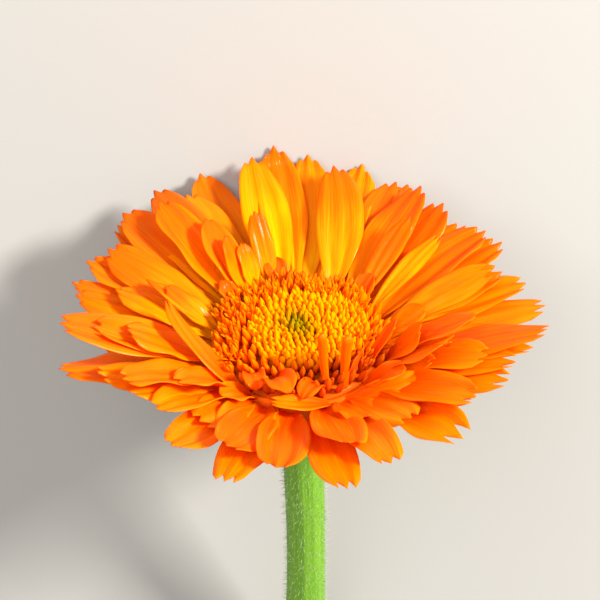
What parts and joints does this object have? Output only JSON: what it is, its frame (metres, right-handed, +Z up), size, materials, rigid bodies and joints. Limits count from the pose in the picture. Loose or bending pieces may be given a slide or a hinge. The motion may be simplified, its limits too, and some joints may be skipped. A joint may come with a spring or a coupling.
{
  "type": "calendula flower",
  "caption": "Cut double calendula flower lying on its side, with orange ray petals, a disc of florets, green bracts and a hairy stem.",
  "frame": {"origin": "middle of the flower's box, on the surface it lies on", "axes": "+Z up from the surface, +Y along the flower from the stem's cut end to the bloom, +X across the bloom"},
  "size_m": [0.0694, 0.0934, 0.0624],
  "materials": {
    "stem_green": "fleshy green stem with fine pale hairs, soft sheen",
    "bract_green": "matte green leaf skin with short hairs",
    "petal_orange": "thin translucent petal, satin, finely lined along its length",
    "floret_orange": "waxy orange florets with split tips",
    "bud_gold": "waxy golden closed buds, greenish in the middle"
  },
  "bodies": {
    "root": {"stem": "stem_green", "involucre": "bract_green", "ray_petals": "petal_orange", "open_florets": "floret_orange", "closed_buds": "bud_gold"}
  },
  "joints": []
}
